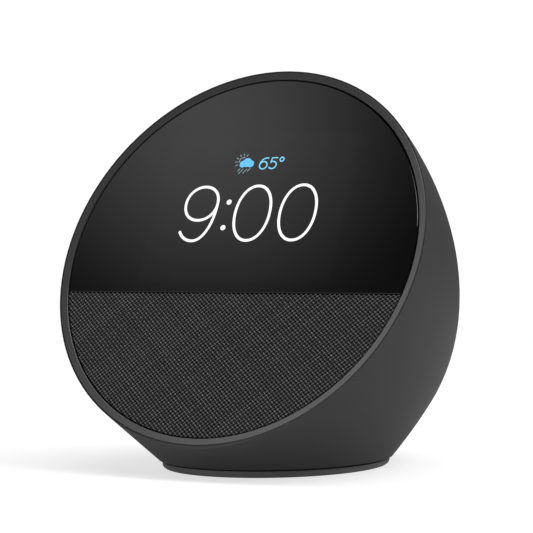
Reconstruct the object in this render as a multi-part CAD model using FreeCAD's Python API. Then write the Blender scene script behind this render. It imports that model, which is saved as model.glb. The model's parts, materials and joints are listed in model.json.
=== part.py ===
import FreeCAD, Part
import math
import os
from FreeCAD import Matrix, Placement, Rotation, Vector

# A small bedside smart display, in millimetres.
# The row frame: X is across the display, the face looks towards -Y, +Z is up, and the
# origin is on the resting plane, under the middle of the object's box.
#
# Three working frames carry the pieces. In each one Z points out of the object, and a
# "depth" is a distance into the object, so it runs along -Z:
#   FACE  the round face that leans back, with X across it and Y up it
#   KEYS  the row of keys on the upper back
#   JACK  the power inlet, low on the back

# ---------------------------------------------------------------- driving dimensions
RIM_RADIUS = 56.5          # the round front rim, the widest part of the body
FACE_TILT = 25.5           # degrees that the face leans back from upright
FACE_HEIGHT = 60.2         # centre of the face above the resting plane
FACE_Y = -27.2             # centre of the face along Y, which centres the whole box
BOWL_DEPTH = 85.2          # from the face to the tip of the rounded back, square to the face
BOWL_DROP = 4.8            # how far that tip sits below the face's own axis
WALL = 2.2                 # wall of the rear shell
SHOULDER_HEIGHT = 17.0     # below this height the walls leave the bowl and bend in to the neck
SHOULDER_STEP = 0.02       # these walls start this much inside the bowl
SHOULDER_SECTIONS = 5
NECK_HEIGHT = 2.3          # the shell's lower edge, above the resting plane
NECK_HALF_WIDTH = 31.7     # the oval of that edge
NECK_HALF_LENGTH = 37.0
NECK_Y = -5.05
FLOOR_BOTTOM = 4.0         # the shell's floor, between the pocket for the base plate and the inside
FLOOR_TOP = 6.2

TOUCH = 0.3                # clearance kept round pieces that move
SPAN = 300.0               # larger than the object, for trimming blocks
OUTSIDE = 30.0             # cuts that come in from outside the body start this far out

# front ring and what it frames, as depths behind the rim's plane
RING_OUTER = 56.15
RING_INNER = 54.15
RING_SEAT = 56.3           # radius of the rebate that the ring drops into
RING_DEPTH = 1.2
RING_DISH = 0.35           # the ring's inner edge is this much deeper than its outer edge
LENS_RADIUS = 53.7         # glass and grille share this radius
LENS_FRONT = 0.5
LENS_BACK = 1.6
SPLIT_Y = -12.15           # where glass meets grille
SPLIT_GAP = 0.25
FABRIC_THICKNESS = 0.5
TAPE_THICKNESS = 0.15
CHASSIS_RADIUS = 53.6
CHASSIS_FRONT = LENS_BACK + TAPE_THICKNESS
CHASSIS_BACK = 4.0

# display module
SCREEN_X = 0.3
SCREEN_Y = 13.8
SCREEN_WIDTH = 65.0
SCREEN_HEIGHT = 50.0
PANEL_THICKNESS = 1.3
BACKLIGHT_THICKNESS = 2.4
SHEET_METAL = 0.6
BAY_CLEARANCE = 0.9        # between the display module and the chassis window

# loudspeaker, on its own axis, square to the face
SPEAKER_Y = -30.2
SPEAKER_FRONT = 6.7        # depth of the seat on the chassis
SPEAKER_RADIUS = 21.5
SPEAKER_OPENING = 18.8
SPEAKER_PITCH_RADIUS = 20.1
SPEAKER_SCREW_ANGLES = (35, 145, 215, 325)
CONE_RADIUS = 15.7
COIL_INNER = 6.5
COIL_OUTER = 6.9
COIL_FRONT = 12.5
COIL_BACK = 20.2
ROLL_RADIUS = 18.2         # outer edge of the surround's half roll
GASKET_THICKNESS = 0.4
BASKET_FRONT = SPEAKER_FRONT + 2 * GASKET_THICKNESS
BASKET_SHEET = 1.2
BASKET_BACK = 18.0
SPIDER_LEDGE = BASKET_BACK - 2.1
TOP_PLATE_BACK = 20.5
MAGNET_BACK = 26.0
YOKE_BACK = 28.0
MAGNET_RADIUS = 13.8
MAGNET_BORE = 8.2
IRON_RADIUS = 12.8         # of the top plate and the yoke
ENCLOSURE_RADIUS = 23.4
ENCLOSURE_BACK = 36.0
ENCLOSURE_WALL = 1.5

# main board
BOARD_WIDTH = 78.0
BOARD_HEIGHT = 38.0
BOARD_Y = 15.0
BOARD_FRONT = 12.0
BOARD_THICKNESS = 1.6
BOARD_BACK = BOARD_FRONT + BOARD_THICKNESS
CHIP_X = 8.0
CHIP_Y = 17.0
SHIELD_HEIGHT = 2.4
SHIELD_SHEET = 0.3
PAD_THICKNESS = 0.5
SPREADER_THICKNESS = 1.5

# keys
KEY_ROW = 0.42             # place of the row between the face (0) and the bowl's tip (1)
KEY_PITCH = 17.0
KEY_RADIUS = 4.4
KEY_PROUD = 0.5
KEY_TRAVEL = 0.6
KEY_SEAT = 7.8             # depth of the flat end of each key guide
KEY_FLANGE = 0.8
GUIDE_WALL = 1.4
SWITCH_SIZE = 6.0
SWITCH_HEIGHT = 3.1
PLUNGER_RADIUS = 1.65
PLUNGER_FIT = 0.08
KEY_BOARD_FRONT = 14.0
KEY_BOARD_THICKNESS = 1.0
KEY_BOARD_WIDTH = 58.0
KEY_BOARD_HEIGHT = 11.0
KEY_POST_X = 26.0
MIC_X = KEY_PITCH / 2
MIC_HOLE_RADIUS = 0.6
KEY_RIBBON_X = -18.0
RIBBON_THICKNESS = 0.2

# power inlet
JACK_HEIGHT = 22.0
JACK_MOUTH_Y = 50.0
JACK_RECESS_RADIUS = 6.25
JACK_RECESS_BOTTOM = 8.0   # depth of the recess floor behind the mouth plane
JACK_SEAT = 9.2            # back of that floor, where the jack's flange sits
NOSE_RADIUS = 3.7          # the jack's nose, which fills the hole in the floor
COLLAR_WALL = 1.6
SOCKET_RADIUS = 2.85
SOCKET_DEPTH = 9.0
PIN_RADIUS = 1.05
JACK_WIDTH = 9.0
JACK_LENGTH = 14.0
POST_RADIUS = 2.4
RETAINER_X = 10.6

# screws
SMALL_SHANK = 0.9          # radius, as are the next three
SMALL_HEAD = 1.8
SPEAKER_HEAD = 1.5
LARGE_SHANK = 1.2
LARGE_HEAD = 2.3
SMALL_LENGTH = 4.5
LARGE_LENGTH = 8.0
HEAD_HEIGHT = 1.3
DRIVE_RADIUS = 0.7
DRIVE_DEPTH = 0.7
BOSS_RADIUS = 3.0
RIM_BOSS_RADIUS = 49.0     # pitch radius of the four bosses that hold the chassis
RIM_BOSS_ANGLES = (25, 155, 205, 335)

# foot
PLATE_BOTTOM = 1.8         # the foot is this thick, with the base plate on top of it
POCKET_INSET = 3.0         # from the neck's edge in to the pocket for the base plate
PLATE_GAP = 0.2
FOOT_INSET = 1.0           # the foot stands back from the neck's edge by this much
FOOT_ROUND = 1.2
BASE_BOSS_RADIUS = 2.6
BASE_BOSS_HEIGHT = 4.0     # above the floor
WEIGHT_RADIUS = 15.5
WEIGHT_THICKNESS = 6.0
HATCH_RADIUS = 13.0        # opening in the shell's floor, closed by the base plate
HATCH_Y = 7.0

# ---------------------------------------------------------------- frames
FACE = Placement(Vector(0, FACE_Y, FACE_HEIGHT), Rotation(Vector(1, 0, 0), 90 - FACE_TILT))
JACK = Placement(Vector(0, JACK_MOUTH_Y, JACK_HEIGHT), Rotation(Vector(1, 0, 0), -90))


def keys_frame():
    """Frame at the middle of the key row, with Z square to the bowl."""
    rise = math.sqrt(1 - KEY_ROW ** 2)
    place_on_face = Vector(0, RIM_RADIUS * rise - BOWL_DROP * KEY_ROW, -BOWL_DEPTH * KEY_ROW)
    along = Vector(0, -RIM_RADIUS * KEY_ROW / rise - BOWL_DROP, -BOWL_DEPTH)
    along = FACE.Rotation.multVec(along)
    lean = math.degrees(math.atan2(-along.z, along.y))
    return Placement(FACE.multVec(place_on_face), Rotation(Vector(1, 0, 0), -lean))


KEYS = keys_frame()


# ---------------------------------------------------------------- building blocks
def place(shape, frame):
    """The shape, carried from a working frame to the row frame."""
    moved = shape.copy()
    moved.Placement = frame.multiply(shape.Placement)
    return moved


def disc(radius, front, back, x=0.0, y=0.0):
    """A cylinder between two depths."""
    return Part.makeCylinder(radius, back - front, Vector(x, y, -back))


def ring(outer, inner, front, back, x=0.0, y=0.0):
    return disc(outer, front, back, x, y).cut(disc(inner, front, back, x, y))


def slab(width, height, front, back, x=0.0, y=0.0):
    """A box between two depths, centred on x, y."""
    return Part.makeBox(width, height, back - front, Vector(x - width / 2, y - height / 2, -back))


def frame_slab(width, height, border, front, back, x=0.0, y=0.0):
    """A rectangular frame that stands outside width by height."""
    outside = slab(width + 2 * border, height + 2 * border, front, back, x, y)
    return outside.cut(slab(width, height, front, back, x, y))


def turned(profile, x=0.0, y=0.0):
    """A solid of revolution from (radius, depth) points."""
    points = [Vector(radius, 0, -depth) for radius, depth in profile]
    points.append(points[0])
    solid = Part.Face(Part.makePolygon(points)).revolve(Vector(0, 0, 0), Vector(0, 0, 1), 360)
    solid.translate(Vector(x, y, 0))
    return solid


def fused(shapes):
    """Pieces of one moulding, joined into one solid."""
    first, *others = shapes
    return first.fuse(others).removeSplitter()


def group(shapes):
    """Separate solids that share a node."""
    return Part.makeCompound(shapes)


def above(height):
    return Part.makeBox(SPAN, SPAN, SPAN, Vector(-SPAN / 2, -SPAN / 2, height))


def behind_face(depth):
    return place(slab(SPAN, SPAN, depth, depth + SPAN), FACE)


def bowl(inset=0.0):
    """The rounded body as a whole egg: a ball stretched square to the face and dropped."""
    radius = RIM_RADIUS - inset
    depth = BOWL_DEPTH - inset
    stretch = Matrix(radius, 0, 0, 0, 0, radius, BOWL_DROP, 0, 0, 0, depth, 0, 0, 0, 0, 1)
    return place(Part.makeSphere(1.0).transformGeometry(stretch), FACE)


def screw(shank, head, length, head_at, x=0.0, y=0.0):
    """A pan-head screw driven inwards. Its head's underside is at depth head_at."""
    body = disc(head, head_at - HEAD_HEIGHT, head_at, x, y)
    body = body.fuse(disc(shank, head_at, head_at + length, x, y)).removeSplitter()
    return body.cut(disc(DRIVE_RADIUS, head_at - HEAD_HEIGHT, head_at - HEAD_HEIGHT + DRIVE_DEPTH, x, y))


def small_screw_from_behind(seat, x, y, head=SMALL_HEAD, length=SMALL_LENGTH):
    """A small screw driven outwards, with its head's underside at depth seat."""
    turned_round = Rotation(Vector(1, 0, 0), 180)
    driven = screw(SMALL_SHANK, head, length, 0)
    return place(driven, Placement(Vector(x, y, -seat), turned_round))


def rounded_path(points, bend):
    """Straight runs joined by tangent arcs."""
    edges = []
    start = points[0]
    for before, corner, after in zip(points, points[1:], points[2:]):
        back = (before - corner).normalize()
        ahead = (after - corner).normalize()
        half_inside = back.getAngle(ahead) / 2
        reach = bend / math.tan(half_inside)
        towards_centre = (back + ahead).normalize()
        arc_middle = corner + towards_centre * (bend / math.sin(half_inside) - bend)
        arc_start = corner + back * reach
        arc_end = corner + ahead * reach
        edges.append(Part.LineSegment(start, arc_start).toShape())
        edges.append(Part.Arc(arc_start, arc_middle, arc_end).toShape())
        start = arc_end
    edges.append(Part.LineSegment(start, points[-1]).toShape())
    return Part.Wire(edges)


def wire_lead(points, radius, bend):
    """A round insulated wire along a rounded path."""
    path = rounded_path(points, bend)
    direction = (points[1] - points[0]).normalize()
    section = Part.Wire([Part.Circle(points[0], direction, radius).toShape()])
    return path.makePipeShell([section], True, False)


def flat_cable(points, width, thickness, bend):
    """A flat cable whose width runs along X and whose path stays in one Y-Z plane."""
    path = rounded_path(points, bend)
    direction = (points[1] - points[0]).normalize()
    across = Vector(width / 2, 0, 0)
    through = Vector(1, 0, 0).cross(direction) * (thickness / 2)
    start = points[0]
    corners = [start - across - through, start + across - through,
               start + across + through, start - across + through]
    section = Part.makePolygon(corners + corners[:1])
    return path.makePipeShell([section], True, False)


# ---------------------------------------------------------------- neck and foot outlines
def oval(half_width, half_length, y, height):
    """A level oval, longer along Y."""
    centre = Vector(0, y, height)
    tip = centre + Vector(0, half_length, 0)
    side = centre + Vector(half_width, 0, 0)
    return Part.Wire([Part.Ellipse(tip, side, centre).toShape()])


def neck_oval(inset, height):
    """An oval inside the neck's outline."""
    return oval(NECK_HALF_WIDTH - inset, NECK_HALF_LENGTH - inset, NECK_Y, height)


def bowl_box(inset, height):
    """The box of the level oval that the bowl makes at a height."""
    return bowl(inset).slice(Vector(0, 0, 1), height)[0].BoundBox


def bent(at_shoulder, just_above, at_neck, share):
    """A measure of the lower wall: it leaves the bowl at the bowl's slope and bends to the neck's."""
    drop = SHOULDER_HEIGHT - NECK_HEIGHT
    straight_on = at_shoulder - (just_above - at_shoulder) * drop
    return at_shoulder + (straight_on - at_shoulder) * share + (at_neck - straight_on) * share ** 2


def body(inset=0.0):
    """The whole outer shape: the bowl down to its shoulder, then walls that bend in to the neck."""
    box = bowl_box(inset, SHOULDER_HEIGHT)
    above_box = bowl_box(inset, SHOULDER_HEIGHT + 1)
    shrunk_by = (bowl_box(0, SHOULDER_HEIGHT).XLength - box.XLength) / 2
    ovals = []
    for step in range(SHOULDER_SECTIONS):
        share = step / (SHOULDER_SECTIONS - 1)
        half_width = bent(box.XLength / 2, above_box.XLength / 2, NECK_HALF_WIDTH - shrunk_by, share)
        half_length = bent(box.YLength / 2, above_box.YLength / 2, NECK_HALF_LENGTH - shrunk_by, share)
        y = bent(box.Center.y, above_box.Center.y, NECK_Y, share)
        height = SHOULDER_HEIGHT + (NECK_HEIGHT - SHOULDER_HEIGHT) * share
        ovals.append(oval(half_width - SHOULDER_STEP, half_length - SHOULDER_STEP, y, height))
    walls = Part.makeLoft(ovals, True, False)
    return bowl(inset).common(above(SHOULDER_HEIGHT)).fuse(walls)


def oval_block(low_inset, low, high_inset, high):
    """A block between two ovals that follow the neck."""
    return Part.makeLoft([neck_oval(low_inset, low), neck_oval(high_inset, high)], True, True)


def floor_disc(radius, low, high):
    """An upright cylinder over the opening in the shell's floor."""
    return Part.makeCylinder(radius, high - low, Vector(0, HATCH_Y, low))


# ---------------------------------------------------------------- fastener places
BASE_SCREWS = [(-21.0, -8.0), (21.0, -8.0), (-14.0, 20.0), (14.0, 20.0)]
RIM_BOSSES = [(RIM_BOSS_RADIUS * math.cos(math.radians(angle)),
               RIM_BOSS_RADIUS * math.sin(math.radians(angle))) for angle in RIM_BOSS_ANGLES]
BOARD_HOLES = [(x, BOARD_Y + y) for x in (-36.5, 36.5) for y in (-16.0, 16.0)]
BRACKET_EAR_X = SCREEN_WIDTH / 2 - 8
BRACKET_EARS = [(SCREEN_X + x, SCREEN_Y + y)
                for x in (-BRACKET_EAR_X, BRACKET_EAR_X)
                for y in (-SCREEN_HEIGHT / 2 - 3.0, SCREEN_HEIGHT / 2 + 3.0)]
SPEAKER_SCREWS = [(SPEAKER_PITCH_RADIUS * math.cos(math.radians(angle)),
                   SPEAKER_Y + SPEAKER_PITCH_RADIUS * math.sin(math.radians(angle)))
                  for angle in SPEAKER_SCREW_ANGLES]
KEY_PLACES = {"volume_down": -KEY_PITCH, "mic_off": 0.0, "volume_up": KEY_PITCH}


# ---------------------------------------------------------------- housing
def rear_shell():
    solid_body = body().common(behind_face(0))
    hollow = body(WALL).common(above(FLOOR_TOP))
    ring_rebate = place(disc(RING_SEAT, -1, RING_DEPTH), FACE)
    plate_pocket = oval_block(POCKET_INSET, 0, POCKET_INSET, FLOOR_BOTTOM)
    shell = solid_body.cut(hollow).cut(ring_rebate).cut(plate_pocket)

    bosses = []
    pilots = []
    for x, y in RIM_BOSSES:
        bosses.append(place(disc(BOSS_RADIUS, CHASSIS_BACK, SPAN / 2, x, y), FACE))
        pilots.append(place(disc(LARGE_SHANK, CHASSIS_BACK, CHASSIS_BACK + LARGE_LENGTH, x, y), FACE))
    for x, y in BASE_SCREWS:
        height = FLOOR_TOP + BASE_BOSS_HEIGHT - FLOOR_BOTTOM
        bosses.append(Part.makeCylinder(BASE_BOSS_RADIUS, height, Vector(x, y, FLOOR_BOTTOM)))
        pilots.append(Part.makeCylinder(LARGE_SHANK, LARGE_LENGTH, Vector(x, y, PLATE_BOTTOM + 0.1)))
    for x in KEY_PLACES.values():
        guide_radius = KEY_RADIUS + TOUCH + GUIDE_WALL
        bosses.append(place(disc(guide_radius, -KEY_PROUD, KEY_SEAT, x), KEYS))
        pilots.append(place(disc(KEY_RADIUS + TOUCH, -OUTSIDE, KEY_SEAT, x), KEYS))
    for x in (-KEY_POST_X, KEY_POST_X):
        bosses.append(place(disc(POST_RADIUS, 0, KEY_BOARD_FRONT, x), KEYS))
        pilots.append(place(disc(SMALL_SHANK, KEY_BOARD_FRONT - 3.6, KEY_BOARD_FRONT, x), KEYS))
    for x in (-MIC_X, MIC_X):
        pilots.append(place(disc(MIC_HOLE_RADIUS, -5, 5, x), KEYS))
    for x in (-RETAINER_X, RETAINER_X):
        post_end = JACK_RECESS_BOTTOM + JACK_LENGTH
        bosses.append(place(disc(POST_RADIUS, 0, post_end, x), JACK))
        pilots.append(place(disc(SMALL_SHANK, post_end - 3.6, post_end, x), JACK))
    bosses.append(place(disc(JACK_RECESS_RADIUS + COLLAR_WALL, -OUTSIDE, JACK_SEAT), JACK))
    pilots.append(place(disc(JACK_RECESS_RADIUS, -OUTSIDE, JACK_RECESS_BOTTOM), JACK))
    pilots.append(place(disc(NOSE_RADIUS + 0.1, 0, JACK_SEAT), JACK))

    trimmed = [boss.common(solid_body) for boss in bosses]
    shell = fused([shell] + trimmed)
    hatch = floor_disc(HATCH_RADIUS, 0, FLOOR_TOP + 1)
    return shell.cut(pilots + [hatch])


def front_ring():
    profile = [
        (RING_OUTER, 0.15),
        (RING_OUTER - 0.2, 0.0),
        (RING_INNER + 0.15, RING_DISH - 0.02),
        (RING_INNER, RING_DISH + 0.12),
        (RING_INNER, RING_DEPTH),
        (RING_OUTER, RING_DEPTH),
    ]
    return place(turned(profile), FACE)


def front_chassis():
    plate = disc(CHASSIS_RADIUS, CHASSIS_FRONT, CHASSIS_BACK)
    speaker_seat = disc(SPEAKER_RADIUS + 2.2, CHASSIS_BACK, SPEAKER_FRONT, 0, SPEAKER_Y)
    speaker_seat = speaker_seat.common(disc(CHASSIS_RADIUS - 1, CHASSIS_BACK, SPEAKER_FRONT))
    stand_offs = [disc(2.0, CHASSIS_BACK, BOARD_FRONT, x, y) for x, y in BOARD_HOLES]
    chassis = fused([plate, speaker_seat] + stand_offs)

    bay_width = SCREEN_WIDTH + 2 * BAY_CLEARANCE
    bay_height = SCREEN_HEIGHT + 2 * BAY_CLEARANCE
    cuts = [slab(bay_width, bay_height, 0, CHASSIS_BACK, SCREEN_X, SCREEN_Y)]
    tray_room = slab(bay_width + 1, bay_height + 1, CHASSIS_BACK, SPEAKER_FRONT, SCREEN_X, SCREEN_Y)
    cuts.append(tray_room)
    for x, y in BRACKET_EARS:
        cuts.append(slab(9, 7.5, CHASSIS_BACK, SPEAKER_FRONT, x, y))
        cuts.append(disc(SMALL_SHANK, CHASSIS_FRONT + 0.5, CHASSIS_BACK, x, y))
    sound_opening = disc(SPEAKER_OPENING, 0, SPEAKER_FRONT, 0, SPEAKER_Y)
    below_split = slab(SPAN, SPAN, 0, SPEAKER_FRONT, 0, SPLIT_Y - 2 - SPAN / 2)
    cuts.append(sound_opening.common(below_split))
    cuts.append(disc(SPEAKER_OPENING, SPEAKER_FRONT - 1.3, SPEAKER_FRONT, 0, SPEAKER_Y))
    cuts.append(slab(14, 4, 0, SPEAKER_FRONT, SCREEN_X, SPLIT_Y - 0.4))
    cuts.append(disc(2.0, 0, CHASSIS_BACK, 0, 45.5))
    for x, y in BOARD_HOLES:
        cuts.append(disc(SMALL_SHANK, BOARD_FRONT - 4, BOARD_FRONT, x, y))
    for x, y in SPEAKER_SCREWS:
        cuts.append(disc(SMALL_SHANK, SPEAKER_FRONT - 3, SPEAKER_FRONT, x, y))
    for x, y in RIM_BOSSES:
        cuts.append(disc(LARGE_SHANK + 0.2, 0, CHASSIS_BACK, x, y))
        cuts.append(disc(LARGE_HEAD + 0.2, 0, CHASSIS_FRONT + HEAD_HEIGHT + 0.1, x, y))
    return place(chassis.cut(cuts), FACE)


def base_plate():
    inset = POCKET_INSET + PLATE_GAP
    slab_in_pocket = oval_block(inset, PLATE_BOTTOM, inset, FLOOR_BOTTOM)
    plug = floor_disc(HATCH_RADIUS - PLATE_GAP, FLOOR_BOTTOM, FLOOR_TOP)
    plate = fused([slab_in_pocket, plug])
    cuts = []
    for x, y in BASE_SCREWS:
        cuts.append(Part.makeCylinder(LARGE_SHANK + 0.2, FLOOR_BOTTOM, Vector(x, y, 0)))
        cuts.append(Part.makeCylinder(LARGE_HEAD + 0.2, HEAD_HEIGHT + 0.1, Vector(x, y, PLATE_BOTTOM)))
    return plate.cut(cuts)


def base_weight():
    return floor_disc(WEIGHT_RADIUS, FLOOR_TOP, FLOOR_TOP + WEIGHT_THICKNESS)


def foot_pad():
    pad = oval_block(FOOT_INSET, 0, FOOT_INSET, PLATE_BOTTOM)
    bottom = [edge for edge in pad.Edges if edge.BoundBox.ZMax < PLATE_BOTTOM / 2]
    return pad.makeFillet(FOOT_ROUND, bottom)


# ---------------------------------------------------------------- glass, grille and display
def face_disc(front, back, radius=LENS_RADIUS):
    return disc(radius, front, back)


def cover_glass():
    top_half = slab(SPAN, SPAN, 0, SPAN, 0, SPLIT_Y + SPLIT_GAP / 2 + SPAN / 2)
    glass = face_disc(LENS_FRONT, LENS_BACK).common(top_half)
    front_edges = [edge for edge in glass.Edges if edge.BoundBox.ZMin > -LENS_FRONT - 0.01]
    return place(glass.makeChamfer(0.15, front_edges), FACE)


def screen_tape():
    """Black tape round the edge of the glass, outside the display window."""
    top_half = slab(SPAN, SPAN, 0, SPAN, 0, SPLIT_Y + SPLIT_GAP / 2 + SPAN / 2)
    tape = face_disc(LENS_BACK, CHASSIS_FRONT, LENS_RADIUS - 0.4).common(top_half)
    window = slab(SCREEN_WIDTH + 2, SCREEN_HEIGHT + 2, 0, SPAN, SCREEN_X, SCREEN_Y)
    tape = tape.cut(window).cut(disc(2.0, 0, SPAN, 0, 45.5))
    return place(tape, FACE)


def grille_frame():
    """The rigid grille under the cloth, with rows of sound holes over the speaker."""
    low_half = slab(SPAN, SPAN, 0, SPAN, 0, SPLIT_Y - SPLIT_GAP / 2 - SPAN / 2)
    plate = face_disc(LENS_FRONT + FABRIC_THICKNESS, CHASSIS_FRONT, LENS_RADIUS - FABRIC_THICKNESS)
    plate = plate.common(low_half)
    pitch = 3.2
    hole_radius = 1.0
    rows = 10
    holes = []
    for row in range(-rows, rows + 1):
        for column in range(-rows, rows + 1):
            x = (column + (row % 2) / 2) * pitch
            y = row * pitch * math.sqrt(3) / 2
            inside_opening = math.hypot(x, y) < SPEAKER_OPENING - hole_radius - 0.4
            below_frame_edge = SPEAKER_Y + y < SPLIT_Y - 3.4
            if inside_opening and below_frame_edge:
                holes.append(disc(hole_radius, 0, CHASSIS_FRONT + 1, x, SPEAKER_Y + y))
    return place(plate.cut(holes), FACE)


def grille_fabric():
    """The cloth, wrapped over the grille's front and its edges."""
    low_half = slab(SPAN, SPAN, 0, SPAN, 0, SPLIT_Y - SPLIT_GAP / 2 + FABRIC_THICKNESS / 2 - SPAN / 2)
    outside = face_disc(LENS_FRONT, CHASSIS_FRONT).common(low_half)
    inner_half = slab(SPAN, SPAN, 0, SPAN, 0, SPLIT_Y - SPLIT_GAP / 2 - SPAN / 2)
    core = face_disc(LENS_FRONT + FABRIC_THICKNESS, CHASSIS_FRONT + 1, LENS_RADIUS - FABRIC_THICKNESS)
    return place(outside.cut(core.common(inner_half)), FACE)


def lcd_panel():
    back = CHASSIS_FRONT + PANEL_THICKNESS
    panel = slab(SCREEN_WIDTH, SCREEN_HEIGHT, CHASSIS_FRONT, back, SCREEN_X, SCREEN_Y)
    return place(panel, FACE)


def display_adhesive():
    sheet = slab(SCREEN_WIDTH - 2, SCREEN_HEIGHT - 2, LENS_BACK, CHASSIS_FRONT, SCREEN_X, SCREEN_Y)
    return place(sheet, FACE)


BACKLIGHT_FRONT = CHASSIS_FRONT + PANEL_THICKNESS
BACKLIGHT_BACK = BACKLIGHT_FRONT + BACKLIGHT_THICKNESS


def lcd_backlight():
    light = slab(SCREEN_WIDTH, SCREEN_HEIGHT, BACKLIGHT_FRONT, BACKLIGHT_BACK, SCREEN_X, SCREEN_Y)
    return place(light, FACE)


def lcd_bracket():
    """A pressed steel tray behind the display, with four ears on the chassis."""
    back = slab(SCREEN_WIDTH + 2 * SHEET_METAL, SCREEN_HEIGHT + 2 * SHEET_METAL,
                BACKLIGHT_BACK, BACKLIGHT_BACK + SHEET_METAL, SCREEN_X, SCREEN_Y)
    walls = frame_slab(SCREEN_WIDTH, SCREEN_HEIGHT, SHEET_METAL,
                       CHASSIS_BACK, BACKLIGHT_BACK, SCREEN_X, SCREEN_Y)
    ears = [slab(8, 7, CHASSIS_BACK, CHASSIS_BACK + SHEET_METAL, x, y) for x, y in BRACKET_EARS]
    tray_inside = slab(SCREEN_WIDTH, SCREEN_HEIGHT, 0, BACKLIGHT_BACK, SCREEN_X, SCREEN_Y)
    holes = [disc(SMALL_SHANK + 0.1, 0, SPEAKER_FRONT, x, y) for x, y in BRACKET_EARS]
    return place(fused([back, walls] + ears).cut([tray_inside] + holes), FACE)


def lcd_ribbon():
    """Flat cable from the lower edge of the display, round its tray, to the main board."""
    bottom = SCREEN_Y - SCREEN_HEIGHT / 2
    tray_back = BACKLIGHT_BACK + SHEET_METAL
    under_tray = tray_back + 0.25
    route = [(bottom, 2.6), (bottom - 1.3, 2.6), (bottom - 1.3, under_tray),
             (-4.8, under_tray), (-4.8, 11.2), (-2.5, 11.2)]
    points = [Vector(SCREEN_X, y, -depth) for y, depth in route]
    return place(flat_cable(points, 10, RIBBON_THICKNESS, 0.5), FACE)


def light_sensor():
    board = slab(9, 5, CHASSIS_BACK, CHASSIS_BACK + 0.8, 0, 45.5)
    chip = slab(2, 2, CHASSIS_BACK - 1.1, CHASSIS_BACK, 0, 45.5)
    return place(fused([board, chip]), FACE)


# ---------------------------------------------------------------- loudspeaker
def speaker_basket():
    """A pressed frame: flange, four windows in a sloping wall, and a ledge for the spider."""
    profile = [
        (17.4, BASKET_FRONT),
        (SPEAKER_RADIUS, BASKET_FRONT),
        (SPEAKER_RADIUS, BASKET_FRONT + BASKET_SHEET),
        (18.6, BASKET_FRONT + BASKET_SHEET),
        (14.6, BASKET_BACK),
        (8.0, BASKET_BACK),
        (8.0, BASKET_BACK - BASKET_SHEET),
        (12.2, BASKET_BACK - BASKET_SHEET),
        (12.2, SPIDER_LEDGE),
        (13.9, SPIDER_LEDGE),
    ]
    basket = turned(profile, 0, SPEAKER_Y)
    windows = []
    for angle in range(0, 360, 90):
        window = slab(12, 30, BASKET_FRONT + 2.4, BASKET_BACK - 3.0, 0, 16)
        window.rotate(Vector(0, 0, 0), Vector(0, 0, 1), angle)
        window.translate(Vector(0, SPEAKER_Y, 0))
        windows.append(window)
    holes = [disc(SMALL_SHANK + 0.1, SPEAKER_FRONT, BASKET_BACK, x, y) for x, y in SPEAKER_SCREWS]
    return place(basket.cut(windows + holes), FACE)


def speaker_gasket():
    back = SPEAKER_FRONT + GASKET_THICKNESS
    gasket = ring(SPEAKER_RADIUS, SPEAKER_OPENING, SPEAKER_FRONT, back, 0, SPEAKER_Y)
    holes = [disc(SMALL_SHANK + 0.1, SPEAKER_FRONT, BASKET_FRONT, x, y) for x, y in SPEAKER_SCREWS]
    bay = slab(SCREEN_WIDTH + 4, SCREEN_HEIGHT + 5, SPEAKER_FRONT - 1, SPEAKER_FRONT + 0.01,
               SCREEN_X, SCREEN_Y)
    return place(gasket.cut(holes + [bay]), FACE)


def speaker_surround():
    """Rubber half roll that carries the cone's edge; it starts just outside the cone."""
    land_front = SPEAKER_FRONT + GASKET_THICKNESS
    roll_middle = (CONE_RADIUS + TOUCH + ROLL_RADIUS) / 2
    roll_radius = ROLL_RADIUS - roll_middle
    sheet = 0.4
    outer = []
    inner = []
    for step in range(9):
        angle = math.radians(180 - 180 * step / 8)
        outer.append((roll_middle + roll_radius * math.cos(angle),
                      BASKET_FRONT - roll_radius * math.sin(angle)))
        bore = roll_radius - sheet
        inner.append((roll_middle + bore * math.cos(angle), BASKET_FRONT - bore * math.sin(angle)))
    land = [(ROLL_RADIUS + 0.1, land_front), (SPEAKER_RADIUS, land_front), (SPEAKER_RADIUS, BASKET_FRONT)]
    profile = outer + land
    holes = [disc(SMALL_SHANK + 0.1, SPEAKER_FRONT, BASKET_FRONT, x, y) for x, y in SPEAKER_SCREWS]
    return place(turned(profile + inner[::-1], 0, SPEAKER_Y).cut(holes), FACE)


def speaker_cone():
    profile = [
        (COIL_OUTER, COIL_FRONT + 0.1),
        (CONE_RADIUS - 0.8, BASKET_FRONT),
        (CONE_RADIUS, BASKET_FRONT),
        (CONE_RADIUS, BASKET_FRONT + 0.4),
        (CONE_RADIUS - 0.6, BASKET_FRONT + 0.4),
        (COIL_OUTER, COIL_FRONT + 0.6),
    ]
    return place(turned(profile, 0, SPEAKER_Y), FACE)


def dust_cap():
    """A shallow dome that closes the cone's neck."""
    sphere_radius = 12.0
    sheet = 0.35
    base_depth = 12.4
    cap_radius = COIL_OUTER - 0.1
    centre_depth = base_depth + math.sqrt(sphere_radius ** 2 - cap_radius ** 2)
    centre = Vector(0, SPEAKER_Y, -centre_depth)
    dome = Part.makeSphere(sphere_radius, centre).cut(Part.makeSphere(sphere_radius - sheet, centre))
    return place(dome.common(disc(cap_radius, 0, base_depth, 0, SPEAKER_Y)), FACE)


def voice_coil():
    return place(ring(COIL_OUTER, COIL_INNER, COIL_FRONT, COIL_BACK, 0, SPEAKER_Y), FACE)


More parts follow.
